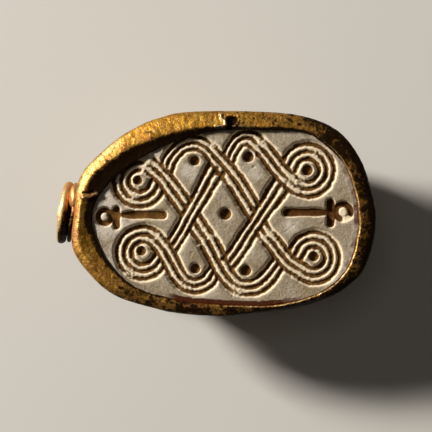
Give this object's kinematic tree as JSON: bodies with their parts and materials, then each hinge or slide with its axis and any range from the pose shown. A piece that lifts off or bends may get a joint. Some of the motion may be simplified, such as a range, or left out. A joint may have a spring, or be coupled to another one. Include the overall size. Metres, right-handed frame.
{
  "type": "scarab seal",
  "caption": "Carved stone beetle seal with an engraved cord pattern on its flat base, held in a rolled gold band with a wire collar at one end.",
  "frame": {"origin": "on the worn flat spot in the middle of the beetle's back, where the seal rests on the ground", "axes": "+Z out of the engraved base, straight up as the seal lies; +X along the seal, away from the beetle's head and the wire collar"},
  "size_m": [0.0222, 0.0141, 0.0086],
  "materials": {
    "steatite": "satin",
    "gold": "satin",
    "gold_wire": "satin"
  },
  "bodies": {
    "root": {"scarab": "steatite", "gold_mount": "gold", "wire_collar": "gold_wire"}
  },
  "joints": []
}
